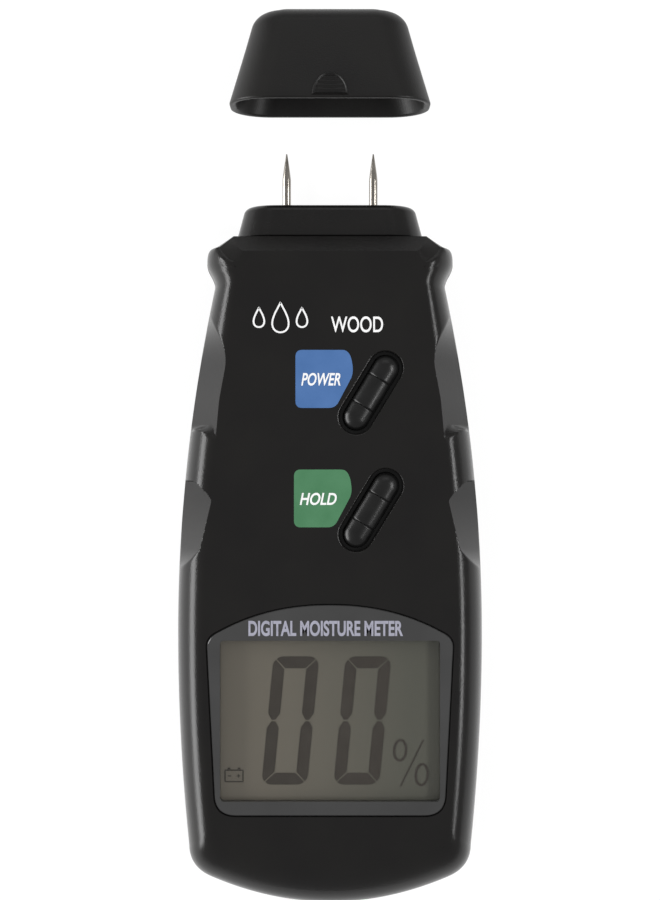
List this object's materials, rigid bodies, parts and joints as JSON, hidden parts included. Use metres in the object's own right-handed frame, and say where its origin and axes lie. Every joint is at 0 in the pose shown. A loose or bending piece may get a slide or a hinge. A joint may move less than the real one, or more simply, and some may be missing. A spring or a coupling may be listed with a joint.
{
  "type": "moisture meter",
  "caption": "Handheld two-pin moisture meter with slanted push keys, arched display window, pull-off pin cap and sliding battery door.",
  "frame": {"origin": "middle of the flat back, halfway between the bottom end and the ledge under the nose", "axes": "+X across the meter to its right, +Y along it towards the probe pins, +Z out of the display face; it lies on its back"},
  "size_m": [0.0628, 0.1843, 0.0278],
  "materials": {
    "casing": "fine satin moulded black plastic",
    "cap": "fine satin moulded black plastic",
    "key": "smooth soft-touch black",
    "keypad": "matt silicone",
    "carbon": "matt carbon-filled silicone",
    "window": "polished, printed dark border",
    "display_glass": "semi-gloss grey",
    "holder": "matt",
    "zebra": "matt elastomer",
    "board": "solder-masked laminate",
    "chip": "matt moulded epoxy",
    "trimmer": "matt",
    "capacitor": "gloss sleeve",
    "crystal_can": "satin",
    "pin_steel": "bright, drawn",
    "brass": "turned",
    "screw_steel": "bright zinc plated",
    "battery": "printed metal jacket",
    "snap": "soft vinyl",
    "lead_red": "soft vinyl",
    "lead_black": "soft vinyl",
    "foam": "open-cell foam"
  },
  "bodies": {
    "meter": {"front_shell": "casing", "rear_shell": "casing", "electrode_block": "casing", "display_window": "window", "lcd_panel": "display_glass", "lcd_holder": "holder", "zebra_strip_bottom": "zebra", "zebra_strip_top": "zebra", "keypad_web": "keypad", "circuit_board": "board", "main_chip": "chip", "op_amp": "chip", "trimmer": "trimmer", "capacitor": "capacitor", "crystal": "crystal_can", "pin_left": "pin_steel", "pin_right": "pin_steel", "pin_socket_left": "brass", "pin_socket_right": "brass", "electrode_lead_left": "lead_black", "electrode_lead_right": "lead_red", "battery": "battery", "battery_snap": "snap", "battery_lead_black": "lead_black", "battery_lead_red": "lead_red", "battery_foam": "foam", "case_screw_1": "screw_steel", "board_screw_1": "screw_steel", "case_screw_2": "screw_steel", "board_screw_2": "screw_steel", "case_screw_3": "screw_steel", "board_screw_3": "screw_steel", "case_screw_4": "screw_steel", "board_screw_4": "screw_steel"},
    "cap": {"cap": "cap"},
    "power_key": {"power_key": "key", "power_contact": "carbon"},
    "hold_key": {"hold_key": "key", "hold_contact": "carbon"},
    "battery_door": {"battery_door": "casing"}
  },
  "joints": [
    {"name": "cap_slide", "type": "slide", "parent": "meter", "child": "cap", "axis": [0, 1, 0], "range_m": [-0.0277, 0]},
    {"name": "power_key_press", "type": "slide", "parent": "meter", "child": "power_key", "axis": [0, 0, -1], "range_m": [0, 0.001], "stiffness_N_per_m": 1500},
    {"name": "hold_key_press", "type": "slide", "parent": "meter", "child": "hold_key", "axis": [0, 0, -1], "range_m": [0, 0.001], "stiffness_N_per_m": 1500},
    {"name": "battery_door_slide", "type": "slide", "parent": "meter", "child": "battery_door", "axis": [0, -1, 0], "range_m": [0, 0.0645]}
  ]
}
